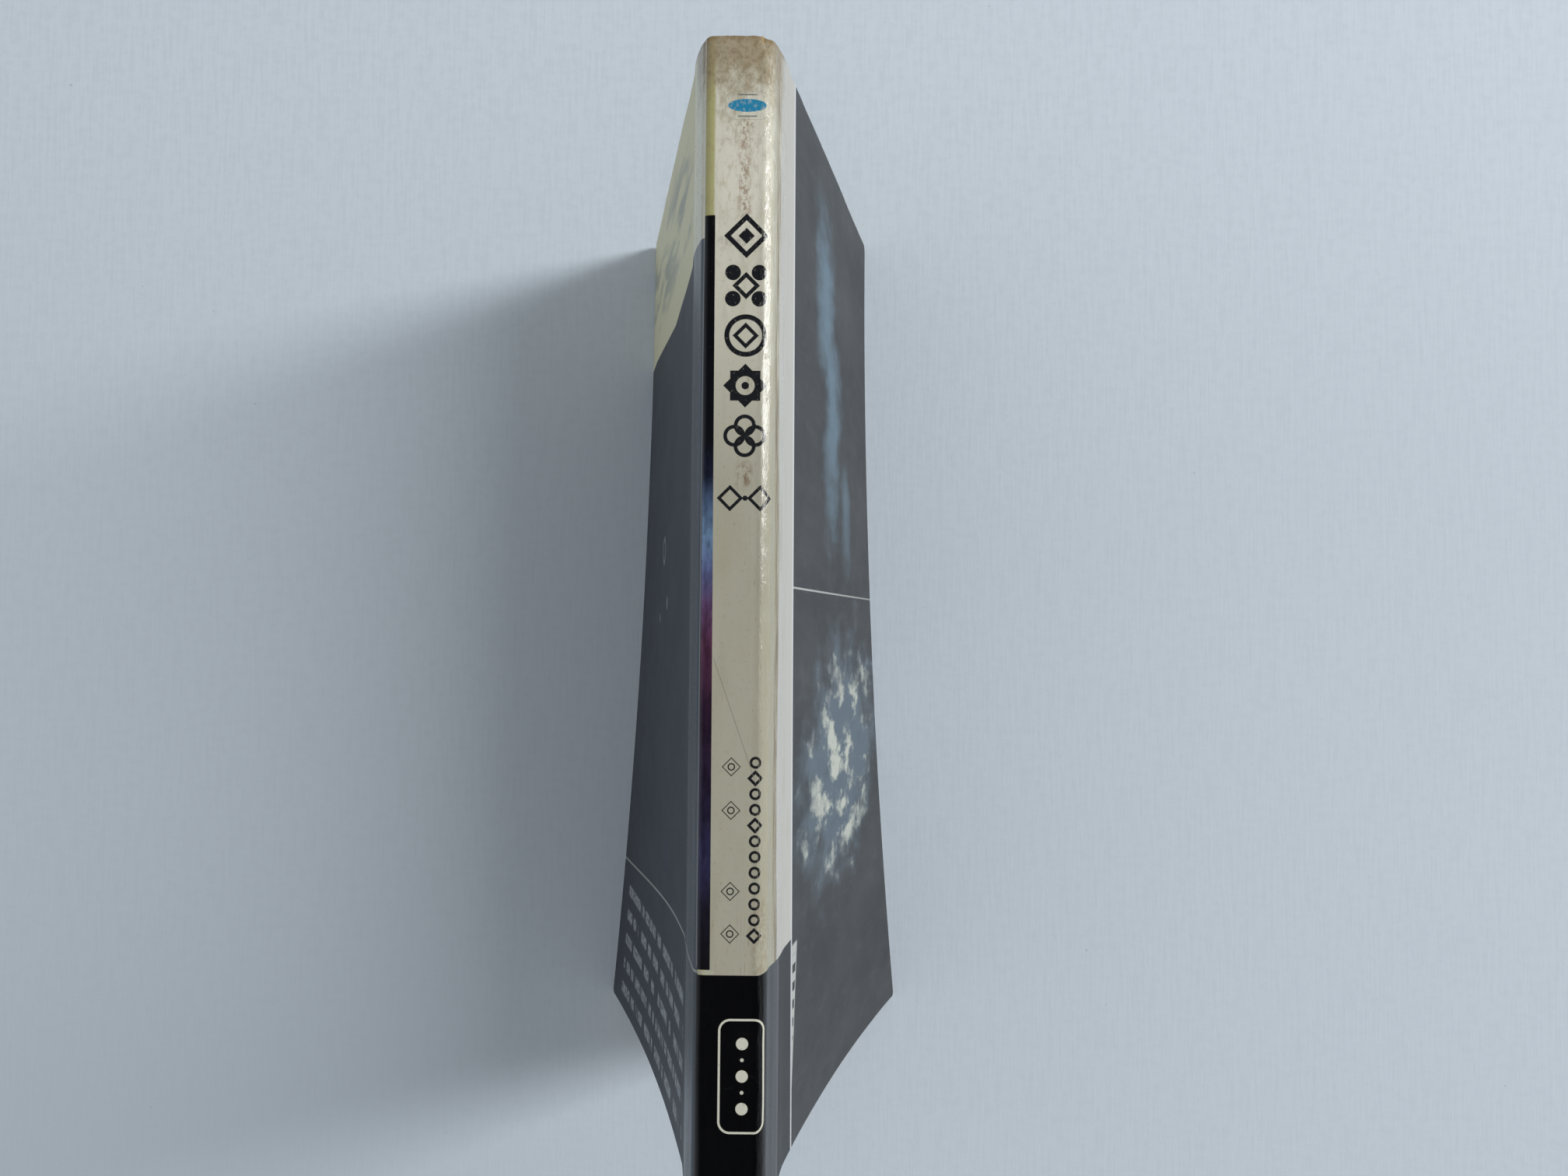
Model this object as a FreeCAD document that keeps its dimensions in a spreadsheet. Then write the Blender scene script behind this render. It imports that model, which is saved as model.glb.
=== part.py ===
import FreeCAD
import Part
import Sketcher
import math
import os

# A pocket-size paperback that stands on its fore edge with the spine up.
# Both covers are sprung open, a little at the head and more at the tail, and the leaves fan
# out between them. +Y points to the head, +X from the front cover to the back cover and +Z
# from the fore edge to the spine. The origin is on the floor, under the middle of the book.
# Lengths are in millimetres and angles in degrees.

# Driving sizes: alias, value, meaning
SIZES = [
    ("book_length", 184.0, "head to tail, the trimmed height of the book"),
    ("stand_height", 105.0, "floor to the outside of the spine"),
    ("spine_width", 11.8, "outside of the spine, from front to back"),
    ("corner_radius", 1.9, "outside radius between the spine and a cover"),
    ("card_thickness", 0.35, "laminated card of the cover"),
    ("glue_thickness", 0.4, "binding glue between the leaves and the card"),
    ("turn_length", 6.5, "strip of card from the corner to the fold, glued to the outer leaf"),
    ("turn_lean", 11.6, "lean of that strip, from upright"),
    ("fold_clearance", 0.05, "between the card of the spine and a cover, at the fold"),
    ("hinge_standoff", 0.15, "how far a fold's axis lies outside the card"),
    ("head_spread", 26.1, "middle plane to the outside of a cover's fore edge, at the head"),
    ("tail_spread", 34.3, "middle plane to the outside of a cover's fore edge, at the tail"),
    ("head_lean", 10.8, "lean of a cover at its fore edge, at the head"),
    ("tail_lean", 19.4, "lean of a cover at its fore edge, at the tail"),
    ("page_clearance", 0.3, "between a cover and the outermost leaf"),
    ("root_clearance", 0.1, "between the glued leaves and the inside of the corners"),
    ("root_depth", 0.5, "how far below the corners the leaves hold together"),
    ("leaf_bundles", 31, "bundles of leaves that stand apart at the fore edge"),
    ("bundle_gap", 0.04, "gap between two bundles at their roots"),
    ("clumps", 5, "clumps of bundles that lie closer together, across half of the fan"),
    ("clumping", 0.6, "how uneven the gaps at the fore edge are: 0 is even, 1 would touch"),
]

# Each sub-part's node name, which is its Label and its file's name
SPINE = "cover_spine"
GLUE = "binding_glue"
PAGES = "page_block"
FRONT = "front_cover"
BACK = "back_cover"


def make_sheet(doc):
    """The spreadsheet of driving sizes, one alias in each row."""
    sheet = doc.addObject("Spreadsheet::Sheet", "Sizes")
    for row, (alias, value, meaning) in enumerate(SIZES, start=1):
        sheet.set(f"A{row}", alias)
        sheet.set(f"B{row}", str(value))
        sheet.set(f"C{row}", meaning)
        sheet.setAlias(f"B{row}", alias)
    doc.recompute()
    return sheet


def corner_centre(size):
    """Centre of the rounded corner on the +X side, as x and z."""
    x = size.spine_width / 2 - size.corner_radius
    z = size.stand_height - size.corner_radius
    return x, z


def turn_point(size, distance):
    """The outside of the card that far below the corner on the +X side, as x and z."""
    lean = math.radians(size.turn_lean)
    centre_x, centre_z = corner_centre(size)
    x = centre_x + size.corner_radius * math.cos(lean) + distance * math.sin(lean)
    z = centre_z + size.corner_radius * math.sin(lean) - distance * math.cos(lean)
    return x, z


def fold_point(size):
    """Where the outside of the card reaches the fold on the +X side, as x and z."""
    return turn_point(size, size.turn_length)


def sketch_across(body, name):
    """A sketch in the plane across the book, with its x along +X and its y along +Z."""
    sketch = body.newObject("Sketcher::SketchObject", name)
    plane = next(f for f in body.Origin.OriginFeatures if f.Role == "XZ_Plane")
    sketch.AttachmentSupport = [(plane, "")]
    sketch.MapMode = "FlatFace"
    return sketch


def bind(sketch, name, constraint, expression):
    """Adds a named constraint and ties it to the sheet."""
    index = sketch.addConstraint(constraint)
    sketch.renameConstraint(index, name)
    sketch.setExpression(f"Constraints.{name}", expression)


def pad_to_length(body, sketch, name):
    """Pads a sketch to the book's length, half towards the head and half towards the tail."""
    pad = body.newObject("PartDesign::Pad", name)
    pad.Profile = sketch
    pad.Midplane = True
    pad.setExpression("Length", "Sizes.book_length")


def draw_folded_card(sketch, size):
    """The card of the spine in cross section.

    It is flat on top, round at both corners and leans outwards down to the folds. The outside
    and the inside are each a chain of five pieces, drawn as a top, two corners and two turns.
    """
    rule = Sketcher.Constraint
    start, end, middle = 1, 2, 3
    horizontal_axis, vertical_axis = -1, -2
    lean = math.radians(size.turn_lean)
    normal = FreeCAD.Vector(0, 0, 1)
    centre_x, centre_z = corner_centre(size)
    _, fold_z = fold_point(size)

    def chain(radius):
        def corner(side):
            circle = Part.Circle(FreeCAD.Vector(side * centre_x, centre_z, 0), normal, radius)
            first, last = (lean, math.pi / 2) if side > 0 else (math.pi / 2, math.pi - lean)
            return sketch.addGeometry(Part.ArcOfCircle(circle, first, last), False)

        def turn(side):
            upper_x = centre_x + radius * math.cos(lean)
            upper_z = centre_z + radius * math.sin(lean)
            lower_x = upper_x + (upper_z - fold_z) * math.tan(lean)
            lower = FreeCAD.Vector(side * lower_x, fold_z, 0)
            upper = FreeCAD.Vector(side * upper_x, upper_z, 0)
            return sketch.addGeometry(Part.LineSegment(lower, upper), False)

        left = FreeCAD.Vector(-centre_x, centre_z + radius, 0)
        right = FreeCAD.Vector(centre_x, centre_z + radius, 0)
        top = sketch.addGeometry(Part.LineSegment(left, right), False)
        pieces = top, corner(1), corner(-1), turn(1), turn(-1)
        _, right_corner, left_corner, right_turn, left_turn = pieces
        sketch.addConstraint(rule("Tangent", top, end, right_corner, end))
        sketch.addConstraint(rule("Tangent", top, start, left_corner, start))
        sketch.addConstraint(rule("Tangent", right_turn, end, right_corner, start))
        sketch.addConstraint(rule("Tangent", left_turn, end, left_corner, end))
        sketch.addConstraint(rule("Equal", right_corner, left_corner))
        return pieces

    inner_radius = size.corner_radius - size.card_thickness
    outside = chain(size.corner_radius)
    inside = chain(inner_radius)
    top, right_corner, left_corner, right_turn, left_turn = outside

    sketch.addConstraint(rule("Coincident", right_corner, middle, inside[1], middle))
    sketch.addConstraint(rule("Coincident", left_corner, middle, inside[2], middle))
    for outer, inner in ((right_turn, inside[3]), (left_turn, inside[4])):
        foot = Part.LineSegment(sketch.getPoint(outer, start), sketch.getPoint(inner, start))
        index = sketch.addGeometry(foot, False)
        sketch.addConstraint(rule("Coincident", index, start, outer, start))
        sketch.addConstraint(rule("Coincident", index, end, inner, start))
        sketch.addConstraint(rule("Horizontal", index))
        sketch.addConstraint(rule("Parallel", outer, inner))

    sketch.addConstraint(rule("Symmetric", top, start, top, end, vertical_axis))
    sketch.addConstraint(rule("Equal", right_turn, left_turn))
    bind(sketch, "top_height",
         rule("DistanceY", horizontal_axis, start, top, start, size.stand_height),
         "Sizes.stand_height")
    bind(sketch, "flat_width",
         rule("DistanceX", top, start, top, end, 2 * centre_x),
         "Sizes.spine_width - 2 * Sizes.corner_radius")
    bind(sketch, "outer_radius",
         rule("Radius", right_corner, size.corner_radius),
         "Sizes.corner_radius")
    bind(sketch, "inner_radius",
         rule("Radius", inside[1], inner_radius),
         "Sizes.corner_radius - Sizes.card_thickness")
    bind(sketch, "turn",
         rule("Distance", right_turn, size.turn_length),
         "Sizes.turn_length")
    bind(sketch, "right_lean",
         rule("Angle", right_turn, math.pi / 2 + lean),
         "90 deg + Sizes.turn_lean * 1 deg")
    bind(sketch, "left_lean",
         rule("Angle", left_turn, math.pi / 2 - lean),
         "90 deg - Sizes.turn_lean * 1 deg")


def make_cover_spine(doc, size):
    """The spine of the card cover, down to the folds where the two covers begin."""
    body = doc.addObject("PartDesign::Body", "CoverSpine")
    body.Label = SPINE
    sketch = sketch_across(body, "CardSection")
    draw_folded_card(sketch, size)
    pad_to_length(body, sketch, "CardPad")
    return body


def make_binding_glue(doc, size):
    """The strip of glue that holds the leaves to the inside of the spine."""
    body = doc.addObject("PartDesign::Body", "BindingGlue")
    body.Label = GLUE
    sketch = sketch_across(body, "GlueSection")
    half = size.spine_width / 2 - size.corner_radius
    top = size.stand_height - size.card_thickness
    bottom = top - size.glue_thickness
    corners = [(-half, bottom), (half, bottom), (half, top), (-half, top)]
    points = [FreeCAD.Vector(x, z, 0) for x, z in corners]
    for index, point in enumerate(points):
        following = points[(index + 1) % len(points)]
        sketch.addGeometry(Part.LineSegment(point, following), False)
    rule = Sketcher.Constraint
    start, end = 1, 2
    horizontal_axis, vertical_axis = -1, -2
    lower, right, upper, left = range(4)
    for line, following in ((lower, right), (right, upper), (upper, left), (left, lower)):
        sketch.addConstraint(rule("Coincident", line, end, following, start))
    sketch.addConstraint(rule("Vertical", right))
    sketch.addConstraint(rule("Vertical", left))
    sketch.addConstraint(rule("Horizontal", lower))
    sketch.addConstraint(rule("Symmetric", upper, start, upper, end, vertical_axis))
    bind(sketch, "width",
         rule("DistanceX", lower, start, lower, end, 2 * half),
         "Sizes.spine_width - 2 * Sizes.corner_radius")
    bind(sketch, "top_height",
         rule("DistanceY", horizontal_axis, start, upper, end, top),
         "Sizes.stand_height - Sizes.card_thickness")
    bind(sketch, "thickness",
         rule("DistanceY", right, start, right, end, size.glue_thickness),
         "Sizes.glue_thickness")
    pad_to_length(body, sketch, "GluePad")
    return body


def side_rows(size):
    """The outside of the book on the +X side, as four rows of poles from corner to fore edge.

    Each row holds z, then x at the head, midway and at the tail. The side is a cubic down from
    the corner, and what varies along it goes with the square of the distance from the head, so
    that the pole midway repeats the one at the head.
    """
    top_x, top = turn_point(size, 0.0)
    third = top / 3
    below_top = top_x + third * math.tan(math.radians(size.turn_lean))

    def above_edge(spread, lean):
        return spread - third * math.tan(math.radians(lean))

    head_knee = above_edge(size.head_spread, size.head_lean)
    tail_knee = above_edge(size.tail_spread, size.tail_lean)
    return [
        (top, top_x, top_x, top_x),
        (2 * third, below_top, below_top, below_top),
        (third, head_knee, head_knee, tail_knee),
        (0.0, size.head_spread, size.head_spread, size.tail_spread),
    ]


def cover_rows(size):
    """The part of those rows that belongs to a cover, cut off below the fold.

    Rows are halved by de Casteljau's rule at the fold's share of the height.
    """
    rows = side_rows(size)
    _, fold_z = fold_point(size)
    share = 1 - (fold_z - size.fold_clearance) / rows[0][0]
    kept = []
    while rows:
        kept.insert(0, rows[-1])
        rows = [
            tuple((1 - share) * a + share * b for a, b in zip(upper, lower))
            for upper, lower in zip(rows, rows[1:])
        ]
    return kept


def card_offset(size):
    """The card's thickness as measured along X, on a strip that leans as the turn does."""
    return size.card_thickness / math.cos(math.radians(size.turn_lean))


def sheet_surface(size, rows, place):
    """The Bezier surface with those rows of poles, each x passed through place(x, row)."""
    half_length = size.book_length / 2
    columns = (half_length, 0.0, -half_length)
    poles = [
        [FreeCAD.Vector(place(x, row), y, z) for x, y in zip(across, columns)]
        for row, (z, *across) in enumerate(rows)
    ]
    surface = Part.BezierSurface()
    surface.increase(len(rows) - 1, len(columns) - 1)
    for i, row in enumerate(poles, start=1):
        for j, pole in enumerate(row, start=1):
            surface.setPole(i, j, pole)
    return surface


def slab(first, second):
    """The solid between two such surfaces, closed by flat faces on its four sides."""
    def border(surface):
        return [
            surface.uIso(0).toShape(), surface.vIso(1).toShape(),
            surface.uIso(1).toShape(), surface.vIso(0).toShape(),
        ]

    def rim(a, b):
        near = Part.makeLine(a.valueAt(a.FirstParameter), b.valueAt(b.FirstParameter))
        far = Part.makeLine(a.valueAt(a.LastParameter), b.valueAt(b.LastParameter))
        return Part.Face(Part.Wire(Part.__sortEdges__([a, far, b, near])))

    faces = [first.toShape(), second.toShape()]
    faces += [rim(a, b) for a, b in zip(border(first), border(second))]
    shell = Part.makeShell(faces)
    shell.sewShape()
    solid = Part.makeSolid(shell)
    if solid.Volume < 0:
        solid.reverse()
    return solid


def add_feature(doc, name, label, shape):
    """A sub-part whose shape is set here, at the model's origin."""
    feature = doc.addObject("Part::Feature", name)
    feature.Label = label
    feature.Shape = shape
    feature.Placement = FreeCAD.Placement()
    return feature


def make_cover(doc, size, name, label, side):
    """One cover of laminated card, from its fold to its fore edge. side is 1 for +X."""
    rows = cover_rows(size)
    offset = card_offset(size)
    outside = sheet_surface(size, rows, lambda x, row: side * x)
    inside = sheet_surface(size, rows, lambda x, row: side * (x - offset))
    return add_feature(doc, name, label, slab(outside, inside))


def make_page_block(doc, size):
    """The leaves, as one solid: glued together at their roots, and fanned in bundles below.

    Every bundle keeps its thickness from root to fore edge, and only the gaps widen. The
    outermost ones follow the card. The others lie in proportion between them near the root,
    and draw together in a few clumps near the fore edge.
    """
    rows = side_rows(size)
    bundles = int(size.leaf_bundles)
    inset = card_offset(size) + size.page_clearance
    top_x, top = turn_point(size, 0.0)
    gaps = size.bundle_gap * (bundles - 1)
    thickness = (2 * (top_x - inset) - gaps) / bundles

    inner_radius = size.corner_radius - size.card_thickness
    drop = inner_radius - size.glue_thickness
    corner_x, _ = corner_centre(size)
    half_root = corner_x + math.sqrt(inner_radius ** 2 - drop ** 2) - size.root_clearance
    root_top = size.stand_height - size.card_thickness - size.glue_thickness
    root_bottom = top - size.root_depth
    corner = FreeCAD.Vector(-half_root, -size.book_length / 2, root_bottom)
    root = Part.makeBox(2 * half_root, size.book_length, root_top - root_bottom, corner)

    def bundle(index):
        share = 2 * index / (bundles - 1) - 1
        wave = math.pi * size.clumps
        clumped = share + size.clumping * math.sin(wave * share) / wave
        shares = (share, share, clumped, clumped)

        def side(half):
            return sheet_surface(size, rows, lambda x, row: (
                shares[row] * (x - inset - thickness / 2) + half * thickness / 2
            ))

        return slab(side(-1), side(1))

    slabs = [bundle(index) for index in range(bundles)]
    leaves = root.multiFuse(slabs)
    return add_feature(doc, "PageBlock", PAGES, leaves)


def check(doc, parts):
    """Stops if any object failed, or if a sub-part isn't exactly one valid solid."""
    for item in doc.Objects:
        if "Invalid" in item.State or "Error" in item.State:
            raise RuntimeError(f"{item.Label} failed: {item.State}")
    for part in parts:
        shape = part.Shape
        if shape.isNull() or not shape.isValid() or len(shape.Solids) != 1:
            raise RuntimeError(f"{part.Label} isn't one valid solid")


def main():
    doc = FreeCAD.newDocument("Paperback")
    size = make_sheet(doc)
    parts = [
        make_cover_spine(doc, size),
        make_binding_glue(doc, size),
        make_page_block(doc, size),
        make_cover(doc, size, "FrontCover", FRONT, -1),
        make_cover(doc, size, "BackCover", BACK, 1),
    ]
    doc.recompute()
    check(doc, parts)
    os.makedirs("parts", exist_ok=True)
    for part in parts:
        part.Shape.exportStep(f"parts/{part.Label}.step")
        box = part.Shape.BoundBox
        print(f"{part.Label}: {part.Shape.Volume / 1000:.2f} cm3, "
              f"{box.XLength:.2f} x {box.YLength:.2f} x {box.ZLength:.2f} mm")
    fold_x, fold_z = fold_point(size)
    print(f"fold axes at x {fold_x + size.hinge_standoff:.3f} and z {fold_z:.3f}")


main()
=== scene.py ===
import math
import random

import bmesh
import bpy
import numpy as np
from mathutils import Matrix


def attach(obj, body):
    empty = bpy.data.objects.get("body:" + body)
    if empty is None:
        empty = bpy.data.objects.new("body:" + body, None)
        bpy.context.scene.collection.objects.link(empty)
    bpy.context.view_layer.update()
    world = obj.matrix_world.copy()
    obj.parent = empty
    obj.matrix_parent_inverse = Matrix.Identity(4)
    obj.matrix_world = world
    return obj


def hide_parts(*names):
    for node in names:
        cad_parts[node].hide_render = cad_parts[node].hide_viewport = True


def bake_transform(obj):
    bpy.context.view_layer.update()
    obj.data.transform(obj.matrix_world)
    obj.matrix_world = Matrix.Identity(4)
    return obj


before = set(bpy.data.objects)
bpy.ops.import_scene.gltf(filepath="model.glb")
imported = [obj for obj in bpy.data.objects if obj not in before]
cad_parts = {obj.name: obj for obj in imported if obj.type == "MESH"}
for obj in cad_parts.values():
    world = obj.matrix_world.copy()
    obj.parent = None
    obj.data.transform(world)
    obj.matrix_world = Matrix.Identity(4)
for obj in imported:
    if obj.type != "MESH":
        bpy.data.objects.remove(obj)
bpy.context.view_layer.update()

# The looks of a worn pocket paperback that stands on its fore edge with the spine up.
# Lengths here are in millimetres, until a mesh or a light is made of them.
MM = 0.001

# The CAD model's sizes
LENGTH = 184.0
HEIGHT = 105.0
SPINE_WIDTH = 11.8
CORNER_RADIUS = 1.9
CARD = 0.35
GLUE = 0.4
FLAT = SPINE_WIDTH / 2 - CORNER_RADIUS
LEAN = math.radians(11.6)
TURN_LENGTH = 6.5
HEAD_SPREAD, HEAD_LEAN = 26.1, math.radians(10.8)
TAIL_SPREAD, TAIL_LEAN = 34.3, math.radians(19.4)
PAGE_CLEARANCE = 0.3

# Points of the cross section that follow from them
CORNER_Z = HEIGHT - CORNER_RADIUS
SIDE_X = FLAT + CORNER_RADIUS * math.cos(LEAN)
SIDE_Z = CORNER_Z + CORNER_RADIUS * math.sin(LEAN)
SIDE_U = FLAT + CORNER_RADIUS * (math.pi / 2 - LEAN)
FOLD_U = SIDE_U + TURN_LENGTH
FOLD_Z = SIDE_Z - TURN_LENGTH * math.cos(LEAN)
CARD_X = CARD / math.cos(LEAN)
KNEE_TOP = SIDE_X + SIDE_Z / 3 * math.tan(LEAN)
HEAD_KNEE = HEAD_SPREAD - SIDE_Z / 3 * math.tan(HEAD_LEAN)
TAIL_KNEE = TAIL_SPREAD - SIDE_Z / 3 * math.tan(TAIL_LEAN)


def poles(s):
    """The four x poles of the book's side at share s of the way from head to tail."""
    knee = HEAD_KNEE + (TAIL_KNEE - HEAD_KNEE) * s ** 2
    edge = HEAD_SPREAD + (TAIL_SPREAD - HEAD_SPREAD) * s ** 2
    return SIDE_X, KNEE_TOP, knee, edge


def side_x(p, s):
    """x of the outside of the card at share p of the way down from the corner."""
    a, b, c, d = poles(s)
    q = 1 - p
    return q ** 3 * a + 3 * q * q * p * b + 3 * q * p * p * c + p ** 3 * d


def side_u(p, s):
    """The same place as a distance along the card from the middle of the spine."""
    a, b, c, d = poles(s)
    length = 0
    for node, weight in zip(*np.polynomial.legendre.leggauss(8)):
        t = p * (node + 1) / 2
        slope = 3 * ((1 - t) ** 2 * (b - a) + 2 * (1 - t) * t * (c - b) + t * t * (d - c))
        length = length + weight / 2 * np.hypot(SIDE_Z, slope)
    return SIDE_U + length * p


def wander(t, step, seed):
    """Smooth noise from 0 to 1 along t, with a turn about every step."""
    values = np.random.default_rng(seed).random(400)
    place = np.clip(np.asarray(t, float) / step + 100, 0, 398)
    cell = np.floor(place).astype(int)
    share = place - cell
    share = share * share * (3 - 2 * share)
    return values[cell] * (1 - share) + values[cell + 1] * share


def wander2(a, b, step_a, step_b, seed):
    """The same over two directions."""
    values = np.random.default_rng(seed).random((260, 260))
    pa = np.clip(np.asarray(a, float) / step_a + 100, 0, 258)
    pb = np.clip(np.asarray(b, float) / step_b + 60, 0, 258)
    ca, cb = np.floor(pa).astype(int), np.floor(pb).astype(int)
    sa, sb = pa - ca, pb - cb
    sa, sb = sa * sa * (3 - 2 * sa), sb * sb * (3 - 2 * sb)
    near = values[ca, cb] * (1 - sb) + values[ca, cb + 1] * sb
    far = values[ca + 1, cb] * (1 - sb) + values[ca + 1, cb + 1] * sb
    return near * (1 - sa) + far * sa


def smooth(t, low, high):
    share = np.clip((t - low) / (high - low), 0, 1)
    return share * share * (3 - 2 * share)


def bump(t, middle, width):
    return np.exp(-((t - middle) / width) ** 2)


# The card bows out beside the corner of the spine: from where, over what width and how far
SWELL_START, SWELL_WIDTH, SWELL_DEPTH = 5.2, 14.0, 0.4


def swell(u):
    share = np.clip((np.abs(u) - SWELL_START) / SWELL_WIDTH, 0, 1)
    return SWELL_DEPTH * 16 * share ** 2 * (1 - share) ** 2


# The crease that opening the back cover has left, which wavers beside the spine
CREASE_U, CREASE_SLOPE = 8.9, 0.0110
CREASE_SWING, CREASE_WAVE = 0.35, 11.0


def crease_u(v):
    return CREASE_U + CREASE_SLOPE * v + CREASE_SWING * np.sin(v / CREASE_WAVE)


# Meshes

def slab(outer, inner):
    """Vertices, faces and kinds (0 outside, 1 inside, 2 rim) of the sheet between two grids."""
    rows, columns = outer.shape[:2]
    index = np.arange(rows * columns).reshape(rows, columns)
    a, b = index[:-1, :-1].ravel(), index[1:, :-1].ravel()
    c, d = index[1:, 1:].ravel(), index[:-1, 1:].ravel()
    other = rows * columns
    faces = [np.stack([a, b, c, d], 1), np.stack([d, c, b, a], 1) + other]
    kinds = [np.zeros(len(a), int), np.ones(len(a), int)]
    ring = np.concatenate([index[0, :-1], index[:-1, -1], index[-1, :0:-1], index[:0:-1, 0]])
    following = np.roll(ring, -1)
    faces.append(np.stack([ring, following, following + other, ring + other], 1))
    kinds.append(np.full(len(ring), 2))
    vertices = np.concatenate([outer.reshape(-1, 3), inner.reshape(-1, 3)])
    return vertices, np.concatenate(faces), np.concatenate(kinds)


def make_piece(name, sheets, materials, sharp=40):
    """One mesh of such sheets, each a tuple of outer grid, inner grid and print coordinates."""
    vertices, faces, kinds, places = [], [], [], []
    start = 0
    for outer, inner, place in sheets:
        v, f, k = slab(outer, inner)
        vertices.append(v * MM)
        faces.append(f + start)
        kinds.append(k)
        places.append(np.tile(place.reshape(-1, 2), (2, 1)))
        start += len(v)
    faces = np.concatenate(faces)
    mesh = bpy.data.meshes.new(name)
    mesh.from_pydata(np.concatenate(vertices).tolist(), [], faces.tolist())
    layer = mesh.uv_layers.new(name="print")
    layer.data.foreach_set("uv", np.concatenate(places)[faces.ravel()].ravel())
    for material in materials:
        mesh.materials.append(material)
    mesh.polygons.foreach_set("material_index", np.concatenate(kinds).astype(np.int32))
    mesh.polygons.foreach_set("use_smooth", np.ones(len(faces), bool))
    shape = bmesh.new()
    shape.from_mesh(mesh)
    bmesh.ops.recalc_face_normals(shape, faces=shape.faces)
    shape.to_mesh(mesh)
    shape.free()
    mesh.set_sharp_from_angle(angle=math.radians(sharp))
    piece = bpy.data.objects.new(name, mesh)
    bpy.context.scene.collection.objects.link(piece)
    return piece


def graded(total, step, fine=(0, 0.25, 0.5, 0.8, 1.1, 1.5, 2.0, 2.7)):
    """Places from 0 to total, closer together near both ends."""
    count = round((total - 2 * fine[-1]) / step)
    middle = np.linspace(fine[-1], total - fine[-1], count + 1)[1:-1]
    return np.concatenate([fine, middle, total - np.array(fine[::-1])])


ALONG = graded(LENGTH, 1.1)


def worn_head(u, v):
    """How far the head of the card is rubbed back, towards the middle of the book."""
    right = 0.22 * bump(u, 4.9, 0.8) + 0.40 * bump(u, 6.6, 1.2) + 0.3 * bump(u, 8.8, 1.6)
    left = 0.6 * bump(u, -6.2, 1.1) + 0.35 * bump(u, -8.4, 1.6)
    fold = 0.45 * bump(np.abs(u), 12.0, 2.8)
    ragged = 0.12 * wander(u, 0.6, 3)
    return (right + left + fold + ragged) * (1 - smooth(v, 0, 6))


def worn_tail(u, v):
    """The same at the tail of the spine."""
    corners = 0.4 * bump(np.abs(u), 5.0, 0.9)
    ragged = 0.1 * wander(u, 0.7, 9)
    return (corners + ragged) * smooth(v, LENGTH - 4, LENGTH)


def dents(u, v):
    """How deep the spine's card is pressed in."""
    ripple = wander(v, 4.2, 11) * 0.6 + wander(v, 1.9, 12) * 0.4
    right = bump(u, 5.1, 0.75) * (0.02 + 0.19 * ripple) * smooth(v, 2, 12)
    second = bump(u, 3.5, 0.35) * 0.07 * wander(v, 7, 13)
    left = bump(u, -5.2, 0.8) * 0.04 * wander(v, 9, 14)
    crumple = bump(u, 4.6, 1.1) * bump(v, 0.0, 2.2) * 0.45
    crumple += bump(u - 0.35 * v, 3.8, 0.35) * (1 - smooth(v, 4, 8)) * 0.12
    crumple += bump(u + 0.25 * v, 6.8, 0.3) * (1 - smooth(v, 5, 9)) * 0.10
    crumple += bump(u - 0.2 * v, 5.3, 0.25) * (1 - smooth(v, 3, 6)) * 0.08
    flat = wander2(u, v, 3.0, 14.0, 15) * 0.05 * (1 - 0.7 * smooth(np.abs(u), 5.0, 7.0))
    tail = bump(np.abs(u), 5.0, 1.2) * bump(v, LENGTH, 2.0) * 0.2
    groove = bump(u, crease_u(v), 0.45) * 0.12 * wander(v, 9, 18) * (1 - 0.7 * smooth(v, 138, 152))
    return right + second + left + crumple + flat + tail + groove


# From here to there the dents fade out, so that the spine's card meets the covers evenly
DENTS_FADE = 10.5, 12.5


def make_spine(materials):
    arc = np.linspace(FLAT, SIDE_U, 14)
    turn = np.linspace(SIDE_U + 0.25, FOLD_U, 22)
    half = np.concatenate([np.linspace(0.4, FLAT - 0.3, 10), arc, turn])
    across = np.concatenate([-half[::-1], [0], half])
    u, v = np.meshgrid(across, ALONG, indexing="ij")
    s = v / LENGTH
    side, size = np.sign(u), np.abs(u)
    angle = np.clip((size - FLAT) / CORNER_RADIUS, 0, math.pi / 2 - LEAN)
    down = np.clip(size - SIDE_U, 0, None)
    p = down * math.cos(LEAN) / SIDE_Z
    on_side = size > SIDE_U
    normal_x = side * np.where(on_side, 1.0, np.sin(angle))
    normal_z = np.where(on_side, 0.0, np.cos(angle))

    def section(depth):
        radius = CORNER_RADIUS - depth
        x = side * (np.minimum(size, FLAT) + radius * np.sin(angle))
        z = CORNER_Z + radius * np.cos(angle)
        share = down / TURN_LENGTH
        shift = depth * (np.cos(LEAN) * (1 - share) + share / np.cos(LEAN))
        low_x = side * (side_x(p, s) - shift)
        low_z = SIDE_Z * (1 - p) - depth * math.sin(LEAN) * (1 - share)
        return np.where(on_side, low_x, x), np.where(on_side, low_z, z)

    depth = dents(u, v) * (1 - smooth(size, *DENTS_FADE)) - swell(u)
    y = LENGTH / 2 - v - worn_head(u, v) + worn_tail(u, v)
    grids = []
    for card in (0.0, CARD):
        x, z = section(card)
        grids.append(np.stack([x - normal_x * depth, y, z - normal_z * depth], -1))
    place = np.stack([u, v], -1)
    return make_piece("spine_card", [(*grids, place)], materials)


def round_corner(a, b, radius):
    """Pulls the square corner of the sheet, where a and b are both small, in to a round one."""
    near = (a < radius) & (b < radius)
    da, db = (radius - a) / radius, (radius - b) / radius
    pull = np.where(near, np.maximum(da, db) / np.maximum(np.hypot(da, db), 1e-9), 1)
    return (np.where(near, radius * (1 - da * pull), a), np.where(near, radius * (1 - db * pull), b))


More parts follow.
